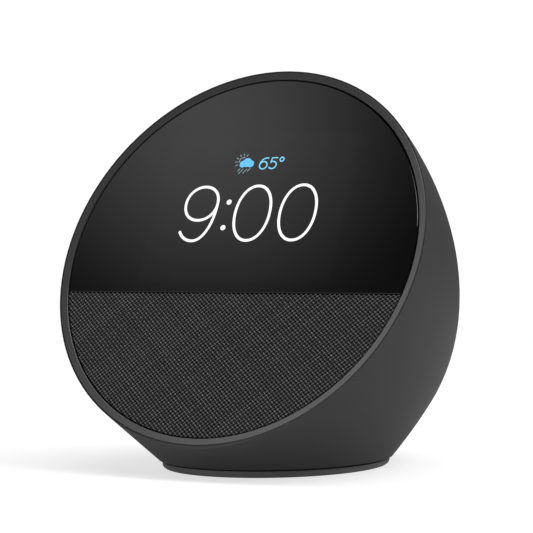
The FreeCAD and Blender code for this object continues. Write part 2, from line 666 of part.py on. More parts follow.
def speaker_spider():
    """Corrugated cloth disc that centres the coil."""
    first = COIL_OUTER + TOUCH
    last = 13.6
    waves = 4
    steps = 24
    sheet = 0.3
    front = []
    for step in range(steps + 1):
        share = step / steps
        radius = first + (last - first) * share
        wave = 0.4 * math.sin(2 * math.pi * waves * share) * (1 - share)
        front.append((radius, SPIDER_LEDGE - 0.75 - wave))
    back = [(radius, depth + sheet) for radius, depth in reversed(front)]
    rim = ring(last, last - 0.8, SPIDER_LEDGE - 0.6, SPIDER_LEDGE - 0.02, 0, SPEAKER_Y)
    return place(fused([turned(front + back, 0, SPEAKER_Y), rim]), FACE)


def speaker_top_plate():
    return place(ring(IRON_RADIUS, COIL_OUTER + TOUCH, BASKET_BACK, TOP_PLATE_BACK, 0, SPEAKER_Y), FACE)


def speaker_magnet():
    return place(ring(MAGNET_RADIUS, MAGNET_BORE, TOP_PLATE_BACK, MAGNET_BACK, 0, SPEAKER_Y), FACE)


def speaker_yoke():
    pole = disc(COIL_INNER - TOUCH, BASKET_BACK, MAGNET_BACK, 0, SPEAKER_Y)
    back_plate = disc(IRON_RADIUS, MAGNET_BACK, YOKE_BACK, 0, SPEAKER_Y)
    return place(fused([pole, back_plate]), FACE)


def speaker_enclosure():
    """Sealed cup behind the speaker, trimmed to stay clear of the shell and its floor."""
    gap = 0.8
    cup = place(disc(ENCLOSURE_RADIUS, SPEAKER_FRONT + 0.1, ENCLOSURE_BACK, 0, SPEAKER_Y), FACE)
    cup = cup.common(bowl(WALL + gap)).common(above(FLOOR_TOP + gap))
    room_back = ENCLOSURE_BACK - ENCLOSURE_WALL
    room = place(disc(ENCLOSURE_RADIUS - ENCLOSURE_WALL, SPEAKER_FRONT, room_back, 0, SPEAKER_Y), FACE)
    room = room.common(bowl(WALL + gap + ENCLOSURE_WALL)).common(above(FLOOR_TOP + gap + ENCLOSURE_WALL))
    seat = place(disc(SPEAKER_RADIUS + 0.1, 0, BASKET_FRONT + BASKET_SHEET, 0, SPEAKER_Y), FACE)
    chassis_seat = place(disc(SPEAKER_RADIUS + 2.3, 0, SPEAKER_FRONT, 0, SPEAKER_Y), FACE)
    lead_hole = place(slab(4.6, 30, 16.0, 18.0, 8.0, -5.0), FACE)
    return cup.cut([room, seat, chassis_seat, lead_hole])


def speaker_screws():
    seat = BASKET_FRONT + BASKET_SHEET
    screws = [small_screw_from_behind(seat, x, y, head=SPEAKER_HEAD) for x, y in SPEAKER_SCREWS]
    return place(group(screws), FACE)


def speaker_lead():
    """Two wires from the speaker's tags, out through the enclosure, to the main board."""
    wires = []
    for x in (7.2, 8.8):
        route = [(-14.6, 12.6), (-12.4, 17.0), (-6.0, 17.0), (-4.0, 14.9), (-1.4, 14.9)]
        wires.append(wire_lead([Vector(x, y, -depth) for y, depth in route], 0.55, 0.9))
    return place(group(wires), FACE)


# ---------------------------------------------------------------- electronics
def main_board():
    board = slab(BOARD_WIDTH, BOARD_HEIGHT, BOARD_FRONT, BOARD_BACK, 0, BOARD_Y)
    holes = [disc(SMALL_SHANK + 0.1, 0, SPAN, x, y) for x, y in BOARD_HOLES]
    return place(board.cut(holes), FACE)


def processor():
    return place(slab(13, 13, BOARD_BACK, BOARD_BACK + 1.2, CHIP_X, CHIP_Y), FACE)


def memory_chips():
    chips = [slab(9, 7, BOARD_BACK, BOARD_BACK + 1.0, x, y)
             for x, y in ((-18, 24), (-18, 14), (30, 26))]
    return place(group(chips), FACE)


def wireless_module():
    board = slab(13, 12, BOARD_BACK, BOARD_BACK + 0.6, 30, 12)
    cover = slab(11.5, 10.5, BOARD_BACK + 0.6, BOARD_BACK + 2.0, 30, 12)
    return place(fused([board, cover]), FACE)


def processor_shield():
    size = 22.0
    outside = slab(size, size, BOARD_BACK, BOARD_BACK + SHIELD_HEIGHT, CHIP_X, CHIP_Y)
    inside = slab(size - 2 * SHIELD_SHEET, size - 2 * SHIELD_SHEET,
                  BOARD_BACK, BOARD_BACK + SHIELD_HEIGHT - SHIELD_SHEET, CHIP_X, CHIP_Y)
    return place(outside.cut(inside), FACE)


def thermal_pad():
    front = BOARD_BACK + SHIELD_HEIGHT
    return place(slab(16, 16, front, front + PAD_THICKNESS, CHIP_X, CHIP_Y), FACE)


def heat_spreader():
    """Aluminium plate over the shielded chips, stiffened by two turned-up edges."""
    front = BOARD_BACK + SHIELD_HEIGHT + PAD_THICKNESS
    back = front + SPREADER_THICKNESS
    plate = slab(34, 26, front, back, CHIP_X, CHIP_Y)
    edges = [slab(1.5, 26, back, back + 3, CHIP_X + x, CHIP_Y) for x in (-16.25, 16.25)]
    return place(fused([plate] + edges), FACE)


def board_connectors():
    display_socket = slab(12, 3.2, BOARD_FRONT - 1.2, BOARD_FRONT, SCREEN_X, -0.9)
    speaker_socket = slab(6, 4, BOARD_BACK, BOARD_BACK + 2.6, 8, 0.6)
    power_socket = slab(6, 5, BOARD_BACK, BOARD_BACK + 3.0, -30, 4)
    key_socket = slab(9, 3.2, BOARD_BACK, BOARD_BACK + 1.6, KEY_RIBBON_X, 31)
    return place(group([display_socket, speaker_socket, power_socket, key_socket]), FACE)


def wifi_antennas():
    boards = [slab(12, 6, CHASSIS_BACK, CHASSIS_BACK + 0.8, x, 44.5) for x in (-12.5, 12.5)]
    return place(group(boards), FACE)


def small_screws():
    """Identical small screws: display tray, main board, key board and inlet retainer."""
    screws = []
    for x, y in BRACKET_EARS:
        screws.append(place(small_screw_from_behind(CHASSIS_BACK + SHEET_METAL, x, y, length=2.2), FACE))
    for x, y in BOARD_HOLES:
        screws.append(place(small_screw_from_behind(BOARD_BACK, x, y), FACE))
    for x in (-KEY_POST_X, KEY_POST_X):
        seat = KEY_BOARD_FRONT + KEY_BOARD_THICKNESS
        screws.append(place(small_screw_from_behind(seat, x, 0), KEYS))
    for x in (-RETAINER_X, RETAINER_X):
        seat = JACK_RECESS_BOTTOM + JACK_LENGTH + 1.0
        screws.append(place(small_screw_from_behind(seat, x, 0), JACK))
    return group(screws)


def chassis_screws():
    head_at = CHASSIS_FRONT + HEAD_HEIGHT + 0.1
    screws = [screw(LARGE_SHANK, LARGE_HEAD, LARGE_LENGTH, head_at, x, y) for x, y in RIM_BOSSES]
    return place(group(screws), FACE)


def base_screws():
    screws = []
    for x, y in BASE_SCREWS:
        driven_up = Placement(Vector(x, y, PLATE_BOTTOM + HEAD_HEIGHT + 0.1), Rotation(Vector(1, 0, 0), 180))
        screws.append(place(screw(LARGE_SHANK, LARGE_HEAD, LARGE_LENGTH - 2, 0), driven_up))
    return group(screws)


# ---------------------------------------------------------------- keys
def key_cap(x, symbol):
    """A key whose top follows the bowl, with a raised symbol and a retaining flange."""
    stem = place(disc(KEY_RADIUS, -OUTSIDE, KEY_SEAT + 0.1, x), KEYS)
    stem = stem.common(bowl(-KEY_PROUD))
    marks = [place(mark, KEYS) for mark in symbol]
    raised = fused(marks) if len(marks) > 1 else marks[0]
    raised = raised.common(bowl(-KEY_PROUD - 0.25))
    flange = place(disc(KEY_RADIUS + 1.2, KEY_SEAT + 0.1, KEY_SEAT + 0.1 + KEY_FLANGE, x), KEYS)
    return fused([stem, raised, flange])


def minus_mark(x):
    return [slab(3.6, 0.7, -OUTSIDE, 5, x)]


def plus_mark(x):
    return [slab(3.6, 0.7, -OUTSIDE, 5, x), slab(0.7, 3.6, -OUTSIDE, 5, x)]


def mute_mark(x):
    """A small capsule with a bar across it."""
    capsule = [slab(1.3, 1.6, -OUTSIDE, 5, x)]
    for end in (-0.8, 0.8):
        capsule.append(disc(0.65, -OUTSIDE, 5, x, end))
    bar = slab(0.5, 5.0, -OUTSIDE, 5)
    bar.rotate(Vector(0, 0, 0), Vector(0, 0, 1), 45)
    bar.translate(Vector(x, 0, 0))
    return capsule + [bar]


PLUNGER_FRONT = KEY_SEAT + 0.1 + KEY_FLANGE
SWITCH_FRONT = KEY_BOARD_FRONT - SWITCH_HEIGHT
PLUNGER_BACK = SWITCH_FRONT + 1.2


def plunger(x):
    return place(disc(PLUNGER_RADIUS, PLUNGER_FRONT, PLUNGER_BACK, x), KEYS)


def tact_switches():
    switches = []
    for x in KEY_PLACES.values():
        case = slab(SWITCH_SIZE, SWITCH_SIZE, SWITCH_FRONT, KEY_BOARD_FRONT, x)
        bore = disc(PLUNGER_RADIUS + PLUNGER_FIT, SWITCH_FRONT, PLUNGER_BACK + KEY_TRAVEL + TOUCH, x)
        switches.append(case.cut(bore))
    return place(group(switches), KEYS)


def key_board():
    board = slab(KEY_BOARD_WIDTH, KEY_BOARD_HEIGHT, KEY_BOARD_FRONT, KEY_BOARD_FRONT + KEY_BOARD_THICKNESS)
    holes = [disc(SMALL_SHANK + 0.1, 0, SPAN, x) for x in (-KEY_POST_X, KEY_POST_X)]
    back = KEY_BOARD_FRONT + KEY_BOARD_THICKNESS
    socket = slab(9, 3.2, back, back + 1.6, KEY_RIBBON_X, -2)
    return place(fused([board, socket]).cut(holes), KEYS)


def microphones():
    height = 1.0
    cans = [slab(3.0, 3.8, KEY_BOARD_FRONT - height, KEY_BOARD_FRONT, x) for x in (-MIC_X, MIC_X)]
    return place(group(cans), KEYS)


def mic_gaskets():
    """Rubber tubes that lead sound from the shell's pin holes to the microphones."""
    tubes = []
    for x in (-MIC_X, MIC_X):
        sleeve = place(ring(1.7, MIC_HOLE_RADIUS, 0, KEY_BOARD_FRONT - 1.0, x), KEYS)
        tubes.append(sleeve.common(bowl(WALL + 0.05)))
    return group(tubes)


def key_ribbon():
    """Flat cable from the key board's socket forward to the main board's."""
    start = KEYS.multVec(Vector(KEY_RIBBON_X, -3.6, -(KEY_BOARD_FRONT + KEY_BOARD_THICKNESS + 0.8)))
    forward = KEYS.Rotation.multVec(Vector(0, -1, 0))
    end = FACE.multVec(Vector(KEY_RIBBON_X, 32.6, -(BOARD_BACK + 0.8)))
    up_the_face = FACE.Rotation.multVec(Vector(0, 1, 0))
    points = [start, start + forward * 5, end + up_the_face * 5, end]
    return flat_cable(points, 7, RIBBON_THICKNESS, 1.5)


# ---------------------------------------------------------------- power inlet
def power_jack():
    front = JACK_RECESS_BOTTOM
    nose = disc(NOSE_RADIUS, front, JACK_SEAT)
    flange = disc(JACK_RECESS_RADIUS + COLLAR_WALL, JACK_SEAT, JACK_SEAT + 1.5)
    case = slab(JACK_WIDTH, JACK_WIDTH + 1, JACK_SEAT, front + JACK_LENGTH)
    socket = disc(SOCKET_RADIUS, front, front + SOCKET_DEPTH)
    return place(fused([nose, flange, case]).cut(socket), JACK)


def jack_pin():
    front = JACK_RECESS_BOTTOM + 0.8
    back = JACK_RECESS_BOTTOM + SOCKET_DEPTH
    tip = turned([(0, front), (0.6, front), (PIN_RADIUS, front + 0.6), (PIN_RADIUS, back), (0, back)])
    return place(tip, JACK)


def jack_retainer():
    front = JACK_RECESS_BOTTOM + JACK_LENGTH
    plate = slab(2 * RETAINER_X + 6, 8, front, front + 1.0)
    holes = [disc(SMALL_SHANK + 0.1, 0, SPAN, x) for x in (-RETAINER_X, RETAINER_X)]
    lead_window = slab(6, 3.4, 0, SPAN)
    return place(plate.cut(holes + [lead_window]), JACK)


def power_lead():
    """Two wires from the inlet up to the main board."""
    wires = []
    for offset in (-0.9, 0.9):
        inlet = JACK.multVec(Vector(offset, 0, -(JACK_RECESS_BOTTOM + JACK_LENGTH)))
        board = FACE.multVec(Vector(-30 + offset, 1.5, -(BOARD_BACK + 1.5)))
        down_the_face = FACE.Rotation.multVec(Vector(0, -1, 0))
        turn = board + down_the_face * 7 + Vector(0, 4, 0)
        points = [inlet, inlet + Vector(0, -8, 0), turn, board + down_the_face * 1.6, board]
        wires.append(wire_lead(points, 0.7, 1.5))
    return group(wires)


# ---------------------------------------------------------------- nodes
def all_nodes():
    nodes = {
        "rear_shell": rear_shell(),
        "front_ring": front_ring(),
        "front_chassis": front_chassis(),
        "base_plate": base_plate(),
        "base_weight": base_weight(),
        "foot_pad": foot_pad(),
        "cover_glass": cover_glass(),
        "screen_tape": screen_tape(),
        "display_adhesive": display_adhesive(),
        "lcd_panel": lcd_panel(),
        "lcd_backlight": lcd_backlight(),
        "lcd_bracket": lcd_bracket(),
        "lcd_ribbon": lcd_ribbon(),
        "light_sensor": light_sensor(),
        "grille_frame": grille_frame(),
        "grille_fabric": grille_fabric(),
        "speaker_basket": speaker_basket(),
        "speaker_gasket": speaker_gasket(),
        "speaker_surround": speaker_surround(),
        "speaker_spider": speaker_spider(),
        "speaker_cone": speaker_cone(),
        "speaker_dust_cap": dust_cap(),
        "speaker_voice_coil": voice_coil(),
        "speaker_top_plate": speaker_top_plate(),
        "speaker_magnet": speaker_magnet(),
        "speaker_yoke": speaker_yoke(),
        "speaker_enclosure": speaker_enclosure(),
        "speaker_screws": speaker_screws(),
        "speaker_lead": speaker_lead(),
        "main_board": main_board(),
        "processor": processor(),
        "memory_chips": memory_chips(),
        "wireless_module": wireless_module(),
        "processor_shield": processor_shield(),
        "thermal_pad": thermal_pad(),
        "heat_spreader": heat_spreader(),
        "board_connectors": board_connectors(),
        "wifi_antennas": wifi_antennas(),
        "small_screws": small_screws(),
        "chassis_screws": chassis_screws(),
        "base_screws": base_screws(),
        "key_board": key_board(),
        "tact_switches": tact_switches(),
        "microphones": microphones(),
        "mic_gaskets": mic_gaskets(),
        "key_ribbon": key_ribbon(),
        "power_jack": power_jack(),
        "jack_pin": jack_pin(),
        "jack_retainer": jack_retainer(),
        "power_lead": power_lead(),
    }
    symbols = {"volume_down": minus_mark, "mic_off": mute_mark, "volume_up": plus_mark}
    for name, x in KEY_PLACES.items():
        nodes[name + "_button"] = key_cap(x, symbols[name](x))
        nodes[name + "_plunger"] = plunger(x)
    return nodes


def main():
    os.makedirs("parts", exist_ok=True)
    for name, shape in all_nodes().items():
        solids = len(shape.Solids)
        print(name, "valid" if shape.isValid() else "NOT VALID", solids, round(shape.Volume, 1))
        shape.exportStep(os.path.join("parts", name + ".step"))


main()
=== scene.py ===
"""Smart display: cloth, screen image, materials, floor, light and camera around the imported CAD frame."""

import json
import math

import bmesh
import bpy
import numpy as np
from mathutils import Matrix, Vector


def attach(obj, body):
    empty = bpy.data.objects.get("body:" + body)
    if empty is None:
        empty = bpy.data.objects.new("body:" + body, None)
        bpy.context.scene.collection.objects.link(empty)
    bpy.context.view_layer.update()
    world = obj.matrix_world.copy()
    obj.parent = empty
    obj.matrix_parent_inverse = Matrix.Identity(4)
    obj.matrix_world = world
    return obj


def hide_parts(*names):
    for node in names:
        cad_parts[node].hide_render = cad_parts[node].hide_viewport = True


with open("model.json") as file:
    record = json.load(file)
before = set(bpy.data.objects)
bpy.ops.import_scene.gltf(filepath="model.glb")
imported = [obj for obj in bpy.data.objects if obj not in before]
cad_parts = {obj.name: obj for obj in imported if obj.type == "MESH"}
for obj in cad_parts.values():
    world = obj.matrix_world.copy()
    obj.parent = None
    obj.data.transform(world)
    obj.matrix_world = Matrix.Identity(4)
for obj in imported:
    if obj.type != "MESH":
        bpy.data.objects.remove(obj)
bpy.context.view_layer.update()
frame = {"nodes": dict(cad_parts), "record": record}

MM = 0.001
SCENE = bpy.context.scene
NODES = frame["nodes"]

# The face: its centre, and axes X across, Y up the face and Z out of it. part.py has the same figures.
FACE_TILT = math.radians(25.5)
FACE_CENTRE = Vector((0, -27.2 * MM, 60.2 * MM))
FACE = Matrix.Translation(FACE_CENTRE) @ Matrix.Rotation(math.pi / 2 - FACE_TILT, 4, "X")
FACE_UP = FACE.to_3x3() @ Vector((0, 1, 0))
FACE_OUT = FACE.to_3x3() @ Vector((0, 0, 1))
GLASS_DEPTH = 0.5 * MM         # of the glass and the cloth behind the rim
LENS_RADIUS = 53.7 * MM
SPLIT_Y = -12.15 * MM          # where the glass meets the cloth
SPLIT_GAP = 0.25 * MM


# ---------------------------------------------------------------- camera
CAMERA_AZIMUTH = math.radians(31.0)
CAMERA_DISTANCE = 0.5243
CAMERA_YAW = math.radians(-0.92)
CAMERA_PITCH = math.radians(0.45)
CAMERA_ROLL = math.radians(-0.31)
CAMERA_LENS = 129.73           # mm, on the 36 mm sensor


def looking_axes(azimuth, elevation, roll=0.0):
    """Camera axes as a 3x3 matrix. Azimuth 0 looks along +Y."""
    back = Vector((math.sin(azimuth) * math.cos(elevation),
                   -math.cos(azimuth) * math.cos(elevation),
                   math.sin(elevation)))
    right = Vector((math.cos(azimuth), math.sin(azimuth), 0))
    level = Matrix((right, back.cross(right), back)).transposed()
    return level @ Matrix.Rotation(roll, 3, "Z")


def add_camera():
    towards_camera = looking_axes(CAMERA_AZIMUTH, 0.0).col[2]
    place = FACE_CENTRE + towards_camera * CAMERA_DISTANCE
    axes = looking_axes(CAMERA_AZIMUTH + CAMERA_YAW, CAMERA_PITCH, CAMERA_ROLL)
    camera = bpy.data.objects.new("camera", bpy.data.cameras.new("camera"))
    camera.matrix_world = Matrix.Translation(place) @ axes.to_4x4()
    camera.data.lens = CAMERA_LENS
    camera.data.clip_start = 0.01
    SCENE.collection.objects.link(camera)
    SCENE.camera = camera


# ---------------------------------------------------------------- material building
class Finish:
    """A material with one Principled shader, and short calls for the nodes that feed it."""

    def __init__(self, name, **sockets):
        self.material = bpy.data.materials.new(name)
        self.material.use_nodes = True
        self.tree = self.material.node_tree
        self.shader = self.tree.nodes["Principled BSDF"]
        for socket, value in sockets.items():
            self.shader.inputs[socket.replace("_", " ")].default_value = value
        self.place = self.node("ShaderNodeTexCoord").outputs["Object"]

    def node(self, kind, **settings):
        made = self.tree.nodes.new(kind)
        for name, value in settings.items():
            setattr(made, name, value)
        return made

    def feed(self, socket, source):
        self.tree.links.new(source, socket)

    def noise(self, size, detail=2.0, stretch=(1, 1, 1)):
        """Noise from 0 to 1 with features of about that size, in metres."""
        mapped = self.node("ShaderNodeMapping")
        mapped.inputs["Scale"].default_value = stretch
        self.feed(mapped.inputs["Vector"], self.place)
        made = self.node("ShaderNodeTexNoise")
        made.inputs["Scale"].default_value = 1 / size
        made.inputs["Detail"].default_value = detail
        self.feed(made.inputs["Vector"], mapped.outputs["Vector"])
        return made.outputs["Fac"]

    def ranged(self, source, low, high, start=0.0, end=1.0, smooth=False):
        made = self.node("ShaderNodeMapRange")
        if smooth:
            made.interpolation_type = "SMOOTHSTEP"
        for name, value in zip(("From Min", "From Max", "To Min", "To Max"), (start, end, low, high)):
            made.inputs[name].default_value = value
        self.feed(made.inputs["Value"], source)
        return made.outputs["Result"]

    def maths(self, operation, *values):
        made = self.node("ShaderNodeMath", operation=operation)
        for socket, value in zip(made.inputs, values):
            if isinstance(value, (int, float)):
                socket.default_value = value
            else:
                self.feed(socket, value)
        return made.outputs["Value"]

    def mixed(self, factor, first, second):
        """Colour mix: first and second are colours or sockets."""
        made = self.node("ShaderNodeMix", data_type="RGBA")
        for socket, value in zip((made.inputs[0], made.inputs[6], made.inputs[7]), (factor, first, second)):
            if isinstance(value, (int, float, tuple)):
                socket.default_value = value
            else:
                self.feed(socket, value)
        return made.outputs[2]

    def relief(self, height, depth):
        """Bump from a height of 0 to 1, depth in metres, on top of any relief that is there."""
        made = self.node("ShaderNodeBump")
        made.inputs["Strength"].default_value = 1.0
        made.inputs["Distance"].default_value = depth
        self.feed(made.inputs["Height"], height)
        before = self.shader.inputs["Normal"].links
        if before:
            self.feed(made.inputs["Normal"], before[0].from_socket)
        self.feed(self.shader.inputs["Normal"], made.outputs["Normal"])

    def edges(self, radius):
        """0 on flat stretches and up to 1 on outer and inner corners within that radius."""
        rounded = self.node("ShaderNodeBevel", samples=4)
        rounded.inputs["Radius"].default_value = radius
        flat = self.node("ShaderNodeNewGeometry").outputs["Normal"]
        across = self.node("ShaderNodeVectorMath", operation="DOT_PRODUCT")
        self.feed(across.inputs[0], rounded.outputs["Normal"])
        self.feed(across.inputs[1], flat)
        return self.ranged(across.outputs["Value"], 1.0, 0.0, 0.75, 0.995)


def tone(level, warm=0.0):
    """A near-neutral colour: warm above 0 shifts it to red, below 0 to blue."""
    return (level * (1 + warm), level, level * (1 - warm), 1.0)


def scaled(colour, factor):
    return tuple(min(1.0, c * factor) for c in colour[:3]) + (1.0,)


def surface(name, colour, roughness, grain=0.25 * MM, depth=0.004 * MM, blotch=0.12,
            wear_and_edge_highlight=0.0, spread=0.06, patch=9 * MM, stretch=(1, 1, 1), **sockets):
    """The general finish: fine grain, slow drift in colour and gloss, and paler edges, partly rubbed wear
    and partly a painted highlight.
    """
    made = Finish(name, **sockets)
    drift = made.noise(patch, 3.0, stretch)
    fine = made.noise(grain, 2.0, stretch)
    shade = made.mixed(drift, scaled(colour, 1 - blotch), scaled(colour, 1 + blotch))
    shade = made.mixed(made.ranged(fine, 0.0, 0.35, 0.35, 0.75), shade, scaled(colour, 1 - 1.5 * blotch))
    # Edges are painted paler: partly rubbed wear, partly a painted highlight along the edges.
    if wear_and_edge_highlight:
        corners = made.edges(0.25 * MM)
        uneven = made.ranged(made.noise(2 * MM), 0.2, 1.0, 0.4, 0.6)
        rubbed_and_highlit = made.maths("MULTIPLY", corners, uneven)
        shade = made.mixed(made.maths("MULTIPLY", rubbed_and_highlit, wear_and_edge_highlight), shade, scaled(colour, 2.6))
    made.feed(made.shader.inputs["Base Color"], shade)
    gloss = made.maths("ADD", made.ranged(drift, -spread, spread),
                       made.ranged(fine, -spread / 2, spread / 2))
    made.feed(made.shader.inputs["Roughness"], made.maths("ADD", gloss, roughness))
    made.relief(fine, depth)
    return made


def brushed(name, colour, roughness=0.32, **sockets):
    """Metal with fine drawn lines along X."""
    return surface(name, colour, roughness, grain=0.3 * MM, depth=0.003 * MM, blotch=0.08,
                   stretch=(0.04, 1, 1), Metallic=1.0, **sockets)


def woven(name, colour, pitch, roughness=0.85):
    """A flat woven surface: two sets of ridges at right angles, with painted shade in the grooves and a
    painted highlight on the ridges.
    """
    made = Finish(name, Roughness=roughness)
    ridges = []
    for axis in ("X", "Y"):
        wave = made.node("ShaderNodeTexWave", bands_direction=axis)
        wave.inputs["Scale"].default_value = 1 / pitch / 3
        wave.inputs["Distortion"].default_value = 0.4
        made.feed(wave.inputs["Vector"], made.place)
        ridges.append(wave.outputs["Fac"])
    height = made.maths("MAXIMUM", *ridges)
    # Painted shade and highlight: the grooves are painted darker and the ridge tops paler.
    shade = made.mixed(height, scaled(colour, 0.5), scaled(colour, 1.2))
    made.feed(made.shader.inputs["Base Color"], shade)
    made.relief(height, 0.08 * MM)
    return made


WINDOW_MIDDLE = Vector((0.3, 13.8)) * MM     # the display window behind the glass
WINDOW_HALF = Vector((30.4, 22.7)) * MM
WINDOW_BLUR = 0.35 * MM        # each way, over which its edge fades


def cover_glass_finish():
    """Gloss black glass with a barely paler display window and a few faint smears."""
    made = Finish("cover_glass", IOR=1.52)

    def inside(direction, middle, half):
        along = made.node("ShaderNodeVectorMath", operation="DOT_PRODUCT")
        made.feed(along.inputs[0], made.place)
        along.inputs[1].default_value = direction
        offset = made.maths("SUBTRACT", along.outputs["Value"], middle + FACE_CENTRE.dot(direction))
        near, far = half - WINDOW_BLUR, half + WINDOW_BLUR
        return made.ranged(made.maths("ABSOLUTE", offset), 1.0, 0.0, near, far)

    across = inside(Vector((1, 0, 0)), WINDOW_MIDDLE.x, WINDOW_HALF.x)
    upward = inside(FACE_UP, WINDOW_MIDDLE.y, WINDOW_HALF.y)
    window = made.maths("MULTIPLY", across, upward)
    made.feed(made.shader.inputs["Base Color"], made.mixed(window, tone(0.0016), tone(0.0042, -0.05)))
    smears = made.ranged(made.noise(14 * MM, 4.0, (1, 0.35, 1)), 0.045, 0.10, 0.45, 0.75)
    dust = made.ranged(made.noise(0.12 * MM, 0.0), 0.0, 0.12, 0.74, 0.80)
    made.feed(made.shader.inputs["Roughness"], made.maths("ADD", smears, dust))
    return made


def cloth_finish():
    """Dark synthetic yarn: the hollows between the threads are painted near-black, as painted shade and for
    the dark frame seen through the weave; pale fibre flecks are painted highlights, and single yarns differ
    a little.
    """
    made = Finish("grille_cloth", Roughness=0.62)
    height = made.node("ShaderNodeAttribute", attribute_name="yarn_height").outputs["Fac"]
    single = made.node("ShaderNodeAttribute", attribute_name="yarn_tint").outputs["Fac"]
    yarn = made.mixed(single, tone(0.022), tone(0.22, -0.01))
    # This noise gives the fibre relief, and its pale flecks on the yarn are painted highlights.
    fibre_relief_and_glints = made.noise(0.16 * MM, 3.0)
    yarn = made.mixed(made.ranged(fibre_relief_and_glints, 0.0, 0.8, 0.45, 0.7), yarn, tone(0.36, -0.02))
    # Painted shade: the hollows are painted near-black by thread height, partly for the dark frame seen
    # through the weave.
    lit = made.ranged(height, 0.0, 1.0, 0.55, 1.0, smooth=True)
    made.feed(made.shader.inputs["Base Color"], made.mixed(lit, tone(0.002), yarn))
    made.relief(fibre_relief_and_glints, 0.03 * MM)
    made.shader.inputs["Sheen Weight"].default_value = 0.04
    made.shader.inputs["Sheen Roughness"].default_value = 0.4
    return made


def light_mark_finish(name, colour, strength):
    """Lit picture elements: an even glow with a very slight unevenness."""
    made = Finish(name, Roughness=0.4, Emission_Strength=strength)
    made.shader.inputs["Base Color"].default_value = tone(0.02)
    uneven = made.ranged(made.noise(1.5 * MM), 0.94, 1.0)
    made.feed(made.shader.inputs["Emission Color"], made.mixed(uneven, tone(0.0), colour))
    return made


def circuit_board_finish():
    """Green solder mask with paler copper runs under it."""
    made = surface("circuit_board", (0.02, 0.16, 0.09, 1), 0.35, blotch=0.1)
    runs = made.node("ShaderNodeTexBrick")
    runs.inputs["Scale"].default_value = 260
    for socket, value in (("Color1", 0.0), ("Color2", 0.35), ("Mortar", 1.0)):
        runs.inputs[socket].default_value = tone(value)
    made.feed(runs.inputs["Vector"], made.place)
    base = made.shader.inputs["Base Color"]
    under = base.links[0].from_socket
    share = made.maths("MULTIPLY", runs.outputs["Color"], 0.5)
    made.feed(base, made.mixed(share, under, (0.05, 0.3, 0.14, 1)))
    return made


SHELL_TONE = 0.046
FINISHES = {
    "shell_plastic": lambda: surface("shell_plastic", tone(SHELL_TONE), 0.56, depth=0.006 * MM,
                                     blotch=0.05, wear_and_edge_highlight=0.25, patch=30 * MM, spread=0.03),
    "ring_plastic": lambda: surface("ring_plastic", tone(0.056), 0.32, grain=0.18 * MM,
                                    depth=0.003 * MM, blotch=0.05, wear_and_edge_highlight=0.3, spread=0.03),
    "key_plastic": lambda: surface("key_plastic", tone(0.044), 0.48, blotch=0.07, wear_and_edge_highlight=0.4),
    "inner_plastic": lambda: surface("inner_plastic", tone(0.03), 0.5, wear_and_edge_highlight=0.2),
    "cover_glass": cover_glass_finish,
    "black_tape": lambda: surface("black_tape", tone(0.02), 0.7, grain=0.5 * MM),
    "clear_adhesive": lambda: surface("clear_adhesive", tone(0.35, -0.02), 0.15, Transmission_Weight=0.6),
    "lcd_glass": lambda: surface("lcd_glass", tone(0.03, -0.1), 0.08, spread=0.02),
    "backlight": lambda: surface("backlight", tone(0.8), 0.35, blotch=0.04),
    "steel": lambda: brushed("steel", tone(0.52)),
    "screw_steel": lambda: brushed("screw_steel", tone(0.3), 0.4),
    "aluminium": lambda: brushed("aluminium", tone(0.68), 0.36),
    "flat_cable": lambda: surface("flat_cable", (0.45, 0.22, 0.06, 1), 0.3, grain=0.4 * MM,
                                  stretch=(1, 0.05, 1)),
    "grille_fabric": cloth_finish,
    "rubber": lambda: surface("rubber", tone(0.03), 0.75, depth=0.01 * MM),
    "foot_rubber": lambda: surface("foot_rubber", tone(0.17), 0.68, grain=0.2 * MM, depth=0.008 * MM,
                                   blotch=0.08, spread=0.04),
    "paper_cone": lambda: surface("paper_cone", tone(0.05), 0.9, grain=0.6 * MM, depth=0.05 * MM,
                                  blotch=0.25),
    "spider_cloth": lambda: woven("spider_cloth", (0.55, 0.42, 0.16, 1), 0.7 * MM),
    "copper": lambda: surface("copper", (0.72, 0.36, 0.18, 1), 0.3, grain=0.2 * MM, depth=0.02 * MM,
                              stretch=(0.1, 0.1, 1), Metallic=1.0),
    "magnet": lambda: surface("magnet", tone(0.12), 0.6, grain=0.4 * MM, depth=0.02 * MM),
    "circuit_board": circuit_board_finish,
    "chip": lambda: surface("chip", tone(0.03), 0.55, grain=0.15 * MM, depth=0.01 * MM),
    "thermal_pad": lambda: surface("thermal_pad", (0.4, 0.45, 0.55, 1), 0.8, grain=0.5 * MM),
    "socket_plastic": lambda: surface("socket_plastic", tone(0.72, 0.04), 0.45),
    "wire_insulation": lambda: surface("wire_insulation", (0.35, 0.03, 0.03, 1), 0.4),
}


def paint(target, material):
    target.data.materials.clear()
    target.data.materials.append(material)


def dress_nodes():
    """Gives each CAD node the procedural finish of its material slot."""
    made = {}
    for part in frame["record"]["subparts"]:
        slot = part["material_slot"]
        if slot not in made:
            made[slot] = FINISHES[slot]().material
        paint(NODES[part["node"]], made[slot])
    return made


# ---------------------------------------------------------------- pieces
def add_piece(name, mesh, material, body="housing"):
    piece = bpy.data.objects.new(name, mesh)
    SCENE.collection.objects.link(piece)
    paint(piece, material)
    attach(piece, body)
    return piece


